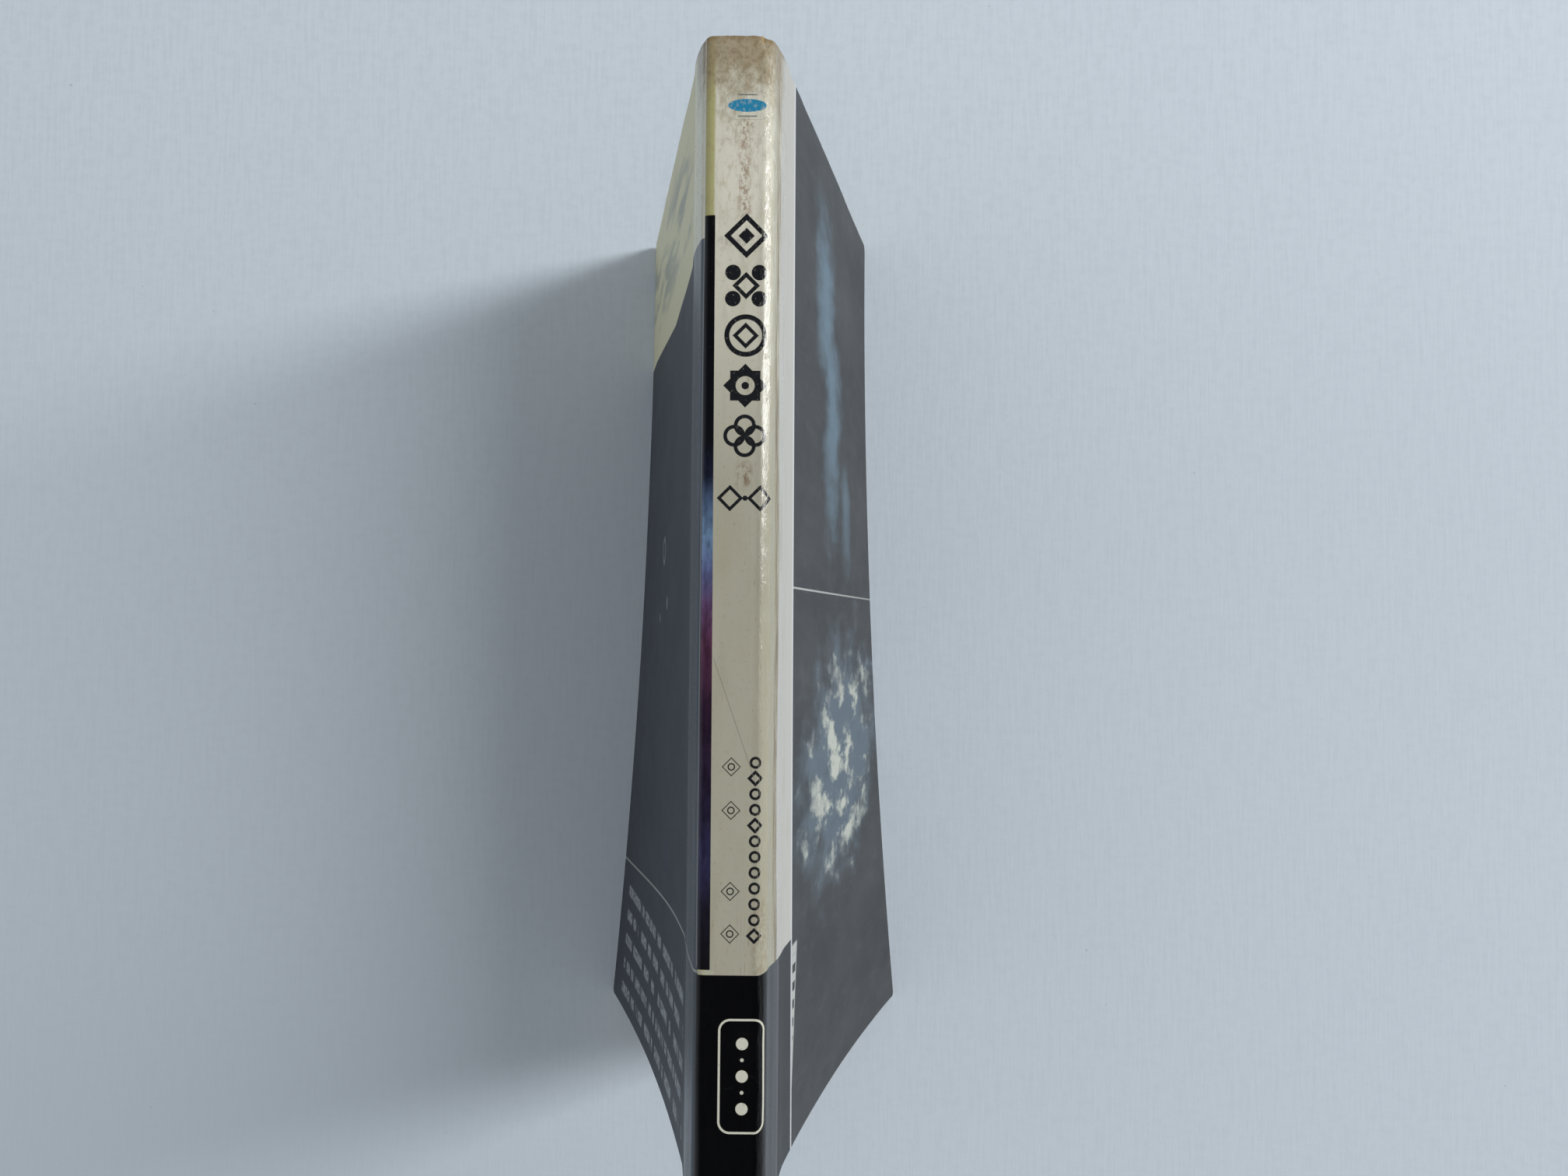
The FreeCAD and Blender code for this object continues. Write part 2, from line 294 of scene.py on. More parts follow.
# The radii of a cover's corners at the fore edge, and how deep its slight waves are
HEAD_CORNER, TAIL_CORNER = 1.6, 1.1
WAVE_DEPTH = 0.22


def make_cover(name, side, materials, seed):
    first = FOLD_Z - np.array([0, 0.5, 1.0, 1.5, 2.0, 2.5, 3.0, 3.6, 4.4, 5.4])
    last = np.array([2.7, 2.0, 1.5, 1.1, 0.8, 0.5, 0.25, 0])
    middle = np.linspace(first[-1], last[0], 62)[1:-1]
    z, v = np.meshgrid(np.concatenate([first, middle, last]), ALONG, indexing="ij")
    z, v = round_corner(z, v, HEAD_CORNER)
    z, back = round_corner(z, LENGTH - v, TAIL_CORNER)
    v = LENGTH - back
    p, s = 1 - z / SIDE_Z, v / LENGTH
    u = side_u(p, s)
    wave = 0.5 * wander2(u, v, 22, 34, seed) + 0.3 * wander2(u, v, 50, 60, seed + 1)
    wave += 0.2 * wander2(u, v, 9, 40, seed + 2)
    inward = WAVE_DEPTH * wave * smooth(FOLD_Z - z, 0, 20)
    x = side_x(p, s) + swell(u) - inward
    y = LENGTH / 2 - v - worn_head(side * u, v)
    grids = [np.stack([side * (x - card), y, z], -1) for card in (0.0, CARD_X)]
    place = np.stack([side * u, v], -1)
    return make_piece(name, [(*grids, place)], materials)


LEAF_COUNT, LEAF_THICKNESS = 104, 0.085

# Loose leaves lie 0.25 to 1.25 shares of the room apart. How often a gap between two clumps is
# wider, by up to how many shares, and about how many millimetres a leaf wanders sideways
CLUMP_CHANCE, CLUMP_GAP = 0.09, 3.5
LEAF_DRIFT = 0.9

# How far the print coordinates of one leaf lie from the next
LEAF_STEP = 300


def make_leaves(materials):
    """The leaves, glued side by side at the spine and fanned out in loose clumps below."""
    rng = random.Random(5)
    inset = CARD_X + PAGE_CLEARANCE + LEAF_THICKNESS / 2
    narrow = TAIL_KNEE - inset

    def shares(gaps):
        total = sum(gaps)
        at, places = 0.0, [-1.0]
        for gap in gaps:
            at += gap
            places.append(2 * at / total - 1)
        return places

    root = shares([1 + 0.04 * rng.random() for _ in range(LEAF_COUNT - 1)])
    least = 1.25 * LEAF_THICKNESS / narrow
    loose = []
    for _ in range(LEAF_COUNT - 1):
        gap = 0.25 + rng.random() ** 3
        if rng.random() < CLUMP_CHANCE:
            gap += CLUMP_GAP * rng.random()
        loose.append(gap)
    spare = 2 - least * (LEAF_COUNT - 1)
    fan = shares([least + spare * gap / sum(loose) for gap in loose])

    sheets = []
    v = graded(LENGTH, 15.0, (0, 3.0, 8.0))
    for index in range(LEAF_COUNT):
        short = 0.25 + 0.45 * rng.random() ** 2
        top = HEIGHT - CARD - GLUE - 0.05
        z = np.concatenate([[top, SIDE_Z - 0.3], np.linspace(SIDE_Z - 2, short, 17)])
        zz, vv = np.meshgrid(z, v, indexing="ij")
        p = np.clip(1 - zz / SIDE_Z, 0, 1)
        s = vv / LENGTH
        a, b, c, d = (pole - inset for pole in poles(s))
        q = 1 - p
        x = root[index] * (q ** 3 * a + 3 * q * q * p * b)
        wave = np.sin(vv / 21 + 2.3 * fan[index]) + 0.6 * np.sin(vv / 9.5 + 4 * fan[index] + 1)
        drift = LEAF_DRIFT * (1 - fan[index] ** 2) * wave
        x = x + (fan[index] * c + drift * 0.5) * 3 * q * p * p + (fan[index] * d + drift) * p ** 3
        x = np.where(zz > SIDE_Z, root[index] * (FLAT + 0.85), x)
        y = LENGTH / 2 - vv
        head = 0.35 + 0.3 * rng.random() ** 2
        tail = 0.05 + 0.3 * rng.random() ** 2
        y = y - head * (vv < 1) + tail * (vv > LENGTH - 1)
        half = LEAF_THICKNESS / 2
        grids = [np.stack([x + offset, y, zz], -1) for offset in (half, -half)]
        place = np.stack([zz + index * LEAF_STEP, vv], -1)
        sheets.append((*grids, place))
    return make_piece("leaves", sheets, materials, sharp=60)


# Materials

def srgb(red, green, blue):
    """A colour given as it looks, from 0 to 255, as Blender's own linear numbers."""
    def linear(c):
        c /= 255
        return c / 12.92 if c <= 0.04045 else ((c + 0.055) / 1.055) ** 2.4
    return (linear(red), linear(green), linear(blue), 1.0)


class Paint:
    """A node material whose colour is laid on in layers, in the print's own millimetres.

    u runs across the card from the middle of the spine, and v along it from the head.
    """

    def __init__(self, name, ground, roughness=0.5, flat_place=True):
        self.material = bpy.data.materials.new(name)
        self.material.use_nodes = True
        self.tree = self.material.node_tree
        self.tree.nodes.clear()
        self.output = self.add("ShaderNodeOutputMaterial")
        self.shader = self.add("ShaderNodeBsdfPrincipled")
        self.shader.inputs["Roughness"].default_value = roughness
        self.tree.links.new(self.shader.outputs[0], self.output.inputs[0])
        if flat_place:
            self.place = self.add("ShaderNodeUVMap", uv_map="print").outputs[0]
        else:
            self.place = self.math3("MULTIPLY", self.add("ShaderNodeTexCoord").outputs["Object"],
                                    (1 / MM, 1 / MM, 1 / MM))
        split = self.add("ShaderNodeSeparateXYZ", self.place)
        self.u, self.v = split.outputs[0], split.outputs[1]
        self.colour = ground

    def add(self, kind, *values, **settings):
        node = self.tree.nodes.new(kind)
        for key, value in settings.items():
            setattr(node, key, value)
        for socket, value in zip(node.inputs, values):
            self.feed(socket, value)
        return node

    def feed(self, socket, value):
        if isinstance(value, bpy.types.NodeSocket):
            self.tree.links.new(value, socket)
        elif value is not None:
            socket.default_value = value

    def math(self, operation, a, b=None, c=None):
        return self.add("ShaderNodeMath", a, b, c, operation=operation).outputs[0]

    def math3(self, operation, a, b=None, c=None):
        node = self.add("ShaderNodeVectorMath", a, b, c, operation=operation)
        return node.outputs[1] if operation == "LENGTH" else node.outputs[0]

    def plus(self, a, b):
        return self.math("ADD", a, b)

    def minus(self, a, b):
        return self.math("SUBTRACT", a, b)

    def times(self, *factors):
        result = factors[0]
        for factor in factors[1:]:
            result = self.math("MULTIPLY", result, factor)
        return result

    def size(self, a):
        return self.math("ABSOLUTE", a)

    def line(self, a, factor, offset):
        return self.math("MULTIPLY_ADD", a, factor, offset)

    def rise(self, value, low, high):
        """Smoothly from 0 at low to 1 at high."""
        return self.add("ShaderNodeMapRange", value, low, high, 0.0, 1.0,
                        interpolation_type="SMOOTHSTEP").outputs[0]

    def share(self, value, low, high):
        """Evenly from 0 at low to 1 at high."""
        return self.add("ShaderNodeMapRange", value, low, high, 0.0, 1.0).outputs[0]

    def inside(self, distance, soft=0.06):
        return self.rise(distance, soft, -soft)

    def between(self, value, low, high, soft):
        middle, half = (low + high) / 2, (high - low) / 2
        return self.rise(self.size(self.plus(value, -middle)), half + soft, half - soft)

    def offset(self, u, v):
        return self.math3("SUBTRACT", self.place, (u, v, 0))

    def box(self, u, v, half_u, half_v, radius=0.0):
        """How far a place lies outside a box, whose corners may be round."""
        away = self.math3("ABSOLUTE", self.offset(u, v))
        away = self.math3("SUBTRACT", away, (half_u - radius, half_v - radius, 0))
        if radius:
            away = self.math3("MAXIMUM", away, (0, 0, 0))
            return self.plus(self.math3("LENGTH", away), -radius)
        split = self.add("ShaderNodeSeparateXYZ", away)
        return self.math("MAXIMUM", split.outputs[0], split.outputs[1])

    def oval(self, u, v, radius_u, radius_v, turn=0.0):
        """How far a place lies outside an oval, as a share of its size."""
        away = self.offset(u, v)
        if turn:
            node = self.add("ShaderNodeVectorRotate", away, rotation_type="Z_AXIS")
            node.inputs["Angle"].default_value = turn
            away = node.outputs[0]
        away = self.math3("MULTIPLY", away, (1 / radius_u, 1 / radius_v, 0))
        return self.plus(self.math3("LENGTH", away), -1.0)

    def disc(self, u, v, radius):
        return self.plus(self.math3("LENGTH", self.offset(u, v)), -radius)

    def diamond(self, u, v, radius):
        away = self.math3("ABSOLUTE", self.offset(u, v))
        split = self.add("ShaderNodeSeparateXYZ", away)
        return self.plus(self.plus(split.outputs[0], split.outputs[1]), -radius)

    def outline(self, distance, half_width):
        """The outline of a shape, drawn inwards from its edge."""
        return self.plus(self.size(self.plus(distance, half_width)), -half_width)

    def union(self, *distances):
        result = distances[0]
        for distance in distances[1:]:
            result = self.math("MINIMUM", result, distance)
        return result

    def without(self, distance, hole):
        return self.math("MAXIMUM", distance, self.math("MULTIPLY", hole, -1.0))

    def noise(self, scale_u, scale_v, seed=0.0, detail=2.0, rough=0.5):
        """Noise from about 0.2 to 0.8, with features about that many millimetres in size."""
        place = self.math3("MULTIPLY_ADD", self.place, (1 / scale_u, 1 / scale_v, 1 / scale_u),
                           (seed * 7.31, seed * 3.17, seed))
        node = self.add("ShaderNodeTexNoise", place)
        node.inputs["Scale"].default_value = 1.0
        node.inputs["Detail"].default_value = detail
        node.inputs["Roughness"].default_value = rough
        return node.outputs[0]

    def ramp(self, value, stops):
        """A run of colours over value, from 0 to 1."""
        node = self.add("ShaderNodeValToRGB", value)
        elements = node.color_ramp.elements
        elements[0].position, elements[0].color = stops[0]
        elements[1].position, elements[1].color = stops[-1]
        for position, colour in stops[1:-1]:
            elements.new(position).color = colour
        return node.outputs[0]

    def lay(self, mask, colour, amount=1.0):
        """Lays a colour over what is there."""
        if amount != 1.0:
            mask = self.times(mask, amount)
        node = self.add("ShaderNodeMix", data_type="RGBA")
        self.feed(node.inputs[0], mask)
        self.feed(node.inputs[6], self.colour)
        self.feed(node.inputs[7], colour)
        self.colour = node.outputs[2]

    def blend(self, factor, a, b):
        return self.add("ShaderNodeMix", factor, None, a, b, data_type="FLOAT").outputs[0]

    def finish(self, roughness=None, height=None, depth=0.05):
        self.feed(self.shader.inputs["Base Color"], self.colour)
        if roughness is not None:
            self.feed(self.shader.inputs["Roughness"], roughness)
        if height is not None:
            relief = self.add("ShaderNodeBump")
            relief.inputs["Distance"].default_value = depth * MM
            self.feed(relief.inputs["Height"], height)
            self.feed(self.shader.inputs["Normal"], relief.outputs[0])
        return self.material


# The print's colours, some with painted light and shade in them, and the lines between its fields in
# millimetres
CREAM, SHADED_CREAM, AGED = srgb(206, 204, 188), srgb(163, 160, 143), srgb(140, 130, 100)
GREEN, PALE_LIT_GREEN, FRONT_CREAM = srgb(164, 161, 112), srgb(222, 222, 206), srgb(216, 213, 178)
WHITE, LINE_WHITE = srgb(182, 181, 174), srgb(172, 175, 170)
INK, TITLE = srgb(2, 2, 3), srgb(24, 25, 29)
# DUSK is the front's dark print, lifted and tinted blue: partly its own dark tone, partly a painted
# reflection of the pale blue board in the gloss film
SLATE, DUSK = srgb(37, 39, 41), srgb(37, 44, 55)
BROWN, RUST = srgb(120, 96, 66), srgb(134, 96, 72)

STRIP_TOP, STRIP_END = 29.1, 148.2
CREAM_END, BACK_END = 149.0, 148.25
STRIP_EDGE, FRONT_EDGE = -3.3, -5.2
PICTURE_U, PICTURE_SLOPE = 23.0, 0.013
LINE_V = 87.75

# Where the small lens, the ornaments and the small column are printed on the spine
EMBLEM_U, EMBLEM_V = 1.5, 11.35
ORNAMENTS_U, ORNAMENTS_V, ORNAMENTS_PITCH = 1.55, 32.4, 8.0
COLUMN_U, COLUMN_TOP, COLUMN_END, COLUMN_PITCH = 3.75, 114.7, 144.1, 2.45


def lay_ground(paint):
    """What the spine and both covers share: the cream, green and white fields."""
    u, v = paint.u, paint.v
    # Painted shade, partly the print's own tone: the cream is laid darker from the head towards the tail,
    # where less light falls
    paint.lay(paint.rise(v, 24, 76), SHADED_CREAM)
    paint.lay(paint.rise(paint.noise(9, 24, 1.0, 4, 0.6), 0.45, 0.75), AGED, 0.22)
    paint.lay(paint.rise(u, STRIP_EDGE - 0.1, STRIP_EDGE - 0.6), GREEN)
    # Painted light: a pale green on the left corner's turn, beside the front's edge, stands for the light the
    # gloss film reflects there
    paint.lay(paint.rise(u, FRONT_EDGE, FRONT_EDGE - 0.15), PALE_LIT_GREEN, 0.8)
    paint.lay(paint.rise(u, -6.5, -12), FRONT_CREAM)

    # The white field beyond the crease, with dirt along it
    bent = paint.times(paint.math("SINE", paint.line(v, 1 / CREASE_WAVE, 0.0)), CREASE_SWING)
    crease = paint.plus(paint.line(v, CREASE_SLOPE, CREASE_U), bent)
    beyond = paint.minus(u, crease)
    paint.lay(paint.rise(beyond, -0.1, 1.1), WHITE)
    tint = paint.rise(paint.noise(1.6, 12.0, 13.0, 4, 0.6), 0.3, 0.6)
    paint.lay(paint.times(paint.between(beyond, -2.4, 0.2, 0.8), tint), srgb(158, 148, 112), 0.6)
    stain = paint.rise(paint.noise(0.45, 12.0, 8.0, 5, 0.7), 0.42, 0.56)
    near = paint.rise(paint.size(paint.plus(beyond, 0.4)), 1.7, 0.3)
    paint.lay(paint.times(near, stain), srgb(106, 88, 58), 0.9)


def lay_fields(paint):
    """The dark fields: the back beyond its edge, the front below its cream, and the spine's foot."""
    u, v = paint.u, paint.v
    edge = paint.line(paint.share(u, -5, -50), 3.0, 32.6)
    edge = paint.plus(edge, paint.times(paint.share(u, -50, -100), -3.8))
    # The front's dark field, partly print, partly painted reflection of the board
    paint.lay(paint.times(paint.rise(u, FRONT_EDGE + 0.08, FRONT_EDGE - 0.08),
                          paint.rise(paint.minus(v, edge), -0.1, 0.1)), DUSK)
    picture = paint.minus(u, paint.line(v, PICTURE_SLOPE, PICTURE_U))
    paint.lay(paint.rise(picture, -0.05, 0.05), SLATE)
    end = paint.blend(paint.rise(u, 4.5, 7.5), CREAM_END, BACK_END)
    paint.lay(paint.rise(paint.minus(v, end), -0.07, 0.07), INK)
    below = paint.rise(paint.minus(v, end), -0.07, 0.07)
    paint.lay(paint.times(below, paint.rise(u, 5.3, 5.8)), SLATE)
    paint.lay(paint.times(below, paint.rise(u, -5.65, -5.85)), DUSK)

    # Painted light: the dim turn of the corner beside the strip is laid paler, to lift the shade that falls
    # on it
    turn = paint.times(paint.rise(v, 32.7, 32.9), paint.rise(u, FRONT_EDGE - 0.1, FRONT_EDGE - 0.3),
                       paint.rise(u, -6.9, -6.1))
    paint.lay(turn, srgb(78, 86, 97), 0.6)

    # A thin pale curve across the lower front, which bends down to the corner of the spine
    curve = paint.line(paint.rise(u, -16, -124), 5.1, 146.4)
    curve = paint.minus(v, paint.plus(curve, paint.times(paint.rise(u, -15, -5), 2.2)))
    curve = paint.times(paint.rise(paint.size(curve), 0.30, 0.14),
                        paint.rise(u, FRONT_EDGE, FRONT_EDGE - 0.2))
    paint.lay(curve, srgb(158, 162, 158), 0.9)
    return picture


def film(paint, smoothest, spread, across, along):
    """Roughness and relief of the gloss film over the print, in blotches of about that size."""
    rub = paint.noise(across / 2, along / 2, 20.0, 4, 0.65)
    fine = paint.noise(1.6, 2.2, 21.0, 3, 0.6)
    broad = paint.noise(across, along, 22.0, 2, 0.5)
    return paint.line(rub, spread, smoothest), paint.plus(paint.times(fine, 0.12), paint.times(broad, 0.88))


def lay_grime(paint, cloud):
    """Brown dirt at the head and down the middle of the spine, and rubbed places below it."""
    u, v = paint.u, paint.v
    head = paint.rise(paint.minus(paint.line(cloud, 18.0, 0.0), v), -3.0, 6.0)
    spine = paint.rise(paint.size(u), 13.0, 8.0)
    paint.lay(paint.times(head, spine), srgb(146, 131, 102), 0.8)
    blotch = paint.rise(paint.noise(0.9, 1.2, 14.0, 6, 0.78), 0.46, 0.60)
    paint.lay(paint.times(blotch, paint.rise(v, 15, 3), spine), srgb(118, 98, 68), 0.6)
    film_dirt = paint.rise(paint.noise(1.0, 2.6, 26.0, 6, 0.75), 0.48, 0.66)
    paint.lay(paint.times(film_dirt, paint.rise(v, 60, 10)), srgb(148, 134, 104), 0.45)
    scuff = paint.rise(paint.noise(0.5, 1.1, 28.0, 5, 0.8), 0.58, 0.66)
    paint.lay(scuff, srgb(118, 104, 80), 0.4)
    patch = paint.rise(paint.noise(0.8, 1.5, 4.0, 6, 0.78), 0.44, 0.60)
    for low, high, first, last, colour, amount in (
            (0.2, 2.2, 13.5, 29.5, RUST, 0.6), (0.7, 1.5, 20.5, 29.5, BROWN, 0.6),
            (-3.0, 4.2, 16.6, 17.3, BROWN, 0.5), (-3.2, 2.0, 7.0, 13.0, BROWN, 0.3),
            (0.4, 2.6, 68.6, 72.4, srgb(104, 78, 56), 0.8), (-2.6, 3.4, 13.6, 15.6, BROWN, 0.35),
            (-3.0, 4.4, 32.6, 34.2, srgb(112, 106, 92), 0.5), (1.4, 3.0, 54.5, 57.5, BROWN, 0.4),
            (3.4, 6.4, 137.0, 149.0, BROWN, 0.35)):
        place = paint.times(paint.between(u, low, high, 0.7), paint.between(v, first, last, 1.0))
        paint.lay(paint.times(place, patch), colour, amount)
    paint.lay(paint.times(paint.rise(paint.noise(0.55, 0.75, 5.0, 2, 0.6), 0.70, 0.76),
                          paint.rise(u, -3.0, -2.6)), BROWN, 0.7)
    paint.lay(paint.rise(paint.noise(0.4, 0.5, 27.0, 2, 0.5), 0.76, 0.80), srgb(70, 58, 46), 0.7)
    streaks = paint.rise(paint.noise(0.3, 7.0, 6.0, 3, 0.6), 0.60, 0.70)
    paint.lay(paint.times(streaks, paint.between(v, 139, 150, 3)), BROWN, 0.55)
    paint.lay(paint.times(streaks, paint.between(u, 4.6, 8.4, 0.6)), srgb(146, 134, 104), 0.4)
    worn = paint.rise(paint.noise(5, 26, 7.0, 4, 0.6), 0.5, 0.72)
    paint.lay(worn, srgb(140, 136, 112), 0.3)
    side = paint.times(paint.between(u, 5.6, 7.6, 0.9), paint.rise(cloud, 0.3, 0.7))
    paint.lay(side, srgb(152, 142, 108), 0.4)


def emblem(paint, u, v):
    """A plain lens shape between two thin bars."""
    lens = paint.oval(u, v, 3.1, 1.05)
    worn = paint.rise(paint.noise(0.5, 0.9, 15.0, 4, 0.7), 0.62, 0.5)
    paint.lay(paint.times(paint.inside(lens, 0.04), paint.line(worn, 0.35, 0.65)), srgb(30, 126, 164))
    bars = paint.union(paint.box(u, v - 1.75, 1.5, 0.13), paint.box(u, v + 1.75, 1.5, 0.13))
    paint.lay(paint.inside(bars, 0.07), srgb(88, 98, 96), 0.75)
    frame_line = paint.outline(paint.box(u, v, 3.6, 2.3, 1.6), 0.04)
    paint.lay(paint.inside(frame_line, 0.05), srgb(150, 150, 132), 0.7)


def ornaments(paint, u, v, pitch):
    """Five bold geometric ornaments, one below the other."""
    first, second, third, fourth, fifth = (v + index * pitch for index in range(5))
    dice = [paint.disc(u + a, second + b, 1.25) for a in (-2.1, 2.1) for b in (-2.1, 2.1)]
    petals = [paint.outline(paint.disc(u + a, fifth + b, 1.75), 0.3)
              for a, b in ((-1.65, 0), (1.65, 0), (0, -1.65), (0, 1.65))]
    star = paint.union(paint.box(u, fourth, 2.4, 2.4), paint.diamond(u, fourth, 3.5))
    return paint.union(
        paint.outline(paint.diamond(u, first, 3.6), 0.55), paint.diamond(u, first, 1.3),
        *dice, paint.outline(paint.diamond(u, second, 2.2), 0.45),
        paint.outline(paint.disc(u, third, 3.4), 0.4), paint.outline(paint.diamond(u, third, 2.1), 0.42),
        paint.without(star, paint.disc(u, fourth, 1.5)), paint.disc(u, fourth, 0.6),
        *petals,
    )


def column(paint, u, first, last, pitch):
    """A column of small bold diamonds and rings, in no order."""
    row = paint.line(paint.v, 1 / pitch, -first / pitch)
    odd = paint.add("ShaderNodeTexWhiteNoise", None, paint.math("FLOOR", row),
                    noise_dimensions="1D").outputs[0]
    across = paint.size(paint.plus(paint.u, -u))
    along = paint.size(paint.times(paint.plus(paint.math("FRACT", row), -0.5), pitch))
    diamond = paint.outline(paint.plus(paint.plus(across, along), -1.3), 0.32)
    away = paint.math("SQRT", paint.plus(paint.times(across, across), paint.times(along, along)))
    ring = paint.outline(paint.plus(away, -0.95), 0.22)
    shape = paint.blend(paint.math("GREATER_THAN", odd, 0.5), diamond, ring)
    ends = paint.plus(paint.size(paint.plus(paint.v, -(first + last) / 2)), -(last - first) / 2)
    return paint.math("MAXIMUM", shape, ends)


def lay_title(paint):
    small = [
        paint.outline(paint.diamond(-0.7, 74.3, 2.1), 0.36), paint.disc(1.7, 74.3, 0.42),
        paint.outline(paint.diamond(4.1, 74.3, 2.1), 0.36),
    ]
    for v in (116.6, 123.4, 136.0, 142.6):
        small.append(paint.outline(paint.diamond(-0.05, v, 1.5), 0.1))
        small.append(paint.outline(paint.disc(-0.05, v, 0.6), 0.1))
    title = paint.union(ornaments(paint, ORNAMENTS_U, ORNAMENTS_V, ORNAMENTS_PITCH),
                        column(paint, COLUMN_U, COLUMN_TOP, COLUMN_END, COLUMN_PITCH), *small)
    rubbed = paint.rise(paint.noise(0.45, 0.7, 9.0, 4, 0.72), 0.60, 0.70)
    corner = paint.rise(paint.noise(0.25, 1.6, 16.0, 3, 0.6), 0.5, 0.6)
    corner = paint.times(paint.rise(paint.u, 3.6, 5.2), corner)
    whole = paint.line(paint.math("MAXIMUM", paint.times(rubbed, 0.45), paint.times(corner, 0.75)), -1.0, 1.0)
    paint.lay(paint.times(paint.inside(title, 0.05), whole), TITLE)


def lay_strip(paint):
    """The strip of the front's picture that shows on the spine, from black through blue to plum."""
    night = [
        (0.0, srgb(7, 7, 9)), (0.30, srgb(9, 10, 16)), (0.35, srgb(20, 26, 46)),
        (0.385, srgb(66, 84, 112)), (0.43, srgb(96, 122, 150)), (0.475, srgb(88, 98, 138)),
        (0.52, srgb(84, 60, 94)), (0.57, srgb(80, 44, 68)), (0.66, srgb(42, 22, 42)),
        (0.80, srgb(32, 26, 50)), (0.86, srgb(44, 42, 74)), (0.92, srgb(28, 26, 40)),
        (1.0, srgb(12, 12, 16)),
    ]
    edge = paint.minus(paint.u, paint.line(paint.v, 0.0032, STRIP_EDGE - 0.28))
    strip = paint.times(paint.rise(edge, 0.05, -0.05), paint.between(paint.v, STRIP_TOP, STRIP_END, 0.05),
                        paint.rise(paint.u, FRONT_EDGE - 0.1, FRONT_EDGE))
    place = paint.share(paint.v, STRIP_TOP, STRIP_END - 0.2)
    paint.lay(strip, paint.ramp(place, night))
    # Painted light: the strip's part on the left corner's turn is laid in brighter colours, to lift the shade
    # that falls there
    bright = [(stop, tuple(1.7 * channel for channel in colour)) for stop, colour in night]
    paint.lay(paint.times(strip, paint.rise(paint.u, -4.2, -5.2)), paint.ramp(place, bright))
    mottled = paint.rise(paint.noise(1.2, 4.0, 10.0, 5, 0.65), 0.42, 0.62)
    paint.lay(paint.times(strip, mottled), INK, 0.4)
    specks = paint.rise(paint.noise(0.5, 0.9, 17.0, 3, 0.6), 0.68, 0.76)
    paint.lay(paint.times(strip, specks), srgb(96, 98, 112), 0.4)


def lay_block(paint):
    """The thin pale line above the black block, and the plain frame on it."""
    u, v = paint.u, paint.v
    line = paint.times(paint.between(v, STRIP_END + 0.1, CREAM_END - 0.05, 0.08), paint.rise(u, -5.3, -5.0),
                       paint.rise(u, STRIP_EDGE + 1.0, STRIP_EDGE + 0.6))
    paint.lay(line, srgb(170, 168, 148))
    middle_u, middle_v = 2.05, 164.55
    frame_line = paint.outline(paint.box(middle_u, middle_v, 3.75, 8.85, 1.9), 0.17)
    dots = [paint.disc(middle_u, middle_v + step * 5.0, 0.95) for step in (-1, 0, 1)]
    dots += [paint.disc(middle_u, middle_v + step * 2.5, 0.28) for step in (-1, 1)]
    pale = paint.inside(paint.union(frame_line, *dots), 0.05)
    chipped = paint.rise(paint.noise(0.4, 0.6, 18.0, 3, 0.7), 0.66, 0.6)
    paint.lay(paint.times(pale, paint.line(chipped, 0.3, 0.7)), srgb(198, 197, 182))
    rubbed = paint.times(paint.rise(v, CREAM_END, 152), paint.rise(v, 176, 158),
                         paint.rise(paint.noise(2.0, 1.4, 11.0, 5, 0.7), 0.60, 0.74))
    paint.lay(rubbed, srgb(40, 41, 44), 0.5)


def spine_print():
    paint = Paint("spine_print", CREAM)
    u, v = paint.u, paint.v
    lay_ground(paint)
    cloud = paint.noise(2.2, 3.4, 3.0, 5, 0.62)
    lay_grime(paint, cloud)
    emblem(paint, EMBLEM_U, EMBLEM_V)
    lay_title(paint)
    lay_strip(paint)
    lay_fields(paint)
    lay_block(paint)

    # Rubbed ends, a long hair scratch and finer ones
    ends = paint.math("MAXIMUM", paint.rise(v, 1.1, 0.2), paint.rise(v, LENGTH - 0.8, LENGTH))
    paint.lay(paint.times(ends, paint.rise(cloud, 0.3, 0.6)), srgb(132, 112, 80), 0.8)
    hair = paint.size(paint.minus(u, paint.line(v, 0.35, -37.9)))
    hair = paint.times(paint.rise(hair, 0.10, 0.03), paint.between(v, 99.5, 119, 1))
    paint.lay(hair, srgb(112, 108, 96), 0.6)
    fine = paint.times(paint.rise(paint.noise(0.12, 5.0, 19.0, 2, 0.5), 0.70, 0.76), paint.rise(v, 146, 140))
    paint.lay(fine, srgb(118, 112, 92), 0.35)
    rubs = paint.times(paint.rise(paint.noise(0.16, 30.0, 25.0, 3, 0.6), 0.56, 0.64), paint.rise(v, 150, 146))
    paint.lay(paint.times(rubs, paint.between(u, -8.4, -5.3, 0.5)), srgb(128, 134, 140), 0.45)
    # Painted highlight: a thin pale line along the left corner beside the strip, fainter below its top,
    # stands for the gloss film's reflection there
    edge = paint.rise(paint.size(paint.plus(u, -(FRONT_EDGE - 0.22))), 0.16, 0.05)
    whole = paint.line(paint.rise(v, 28, 36), -0.35, 0.6)
    paint.lay(paint.times(edge, whole, paint.rise(v, STRIP_END, STRIP_END - 0.6)), srgb(206, 210, 212))

    rough, height = film(paint, 0.16, 0.2, 7.0, 16.0)
    rough = paint.times(rough, paint.line(paint.between(u, 4.2, 6.2, 0.6), -0.55, 1.0))
    height = paint.times(height, paint.line(paint.rise(u, 6.5, 8.5), -0.7, 1.0))
    ripples = paint.noise(0.8, 3.0, 12.0, 4, 0.65)
    height = paint.plus(height, paint.times(ripples, paint.between(u, 3.8, 6.6, 0.9), 1.5))
    return paint.finish(rough, height, 0.11)


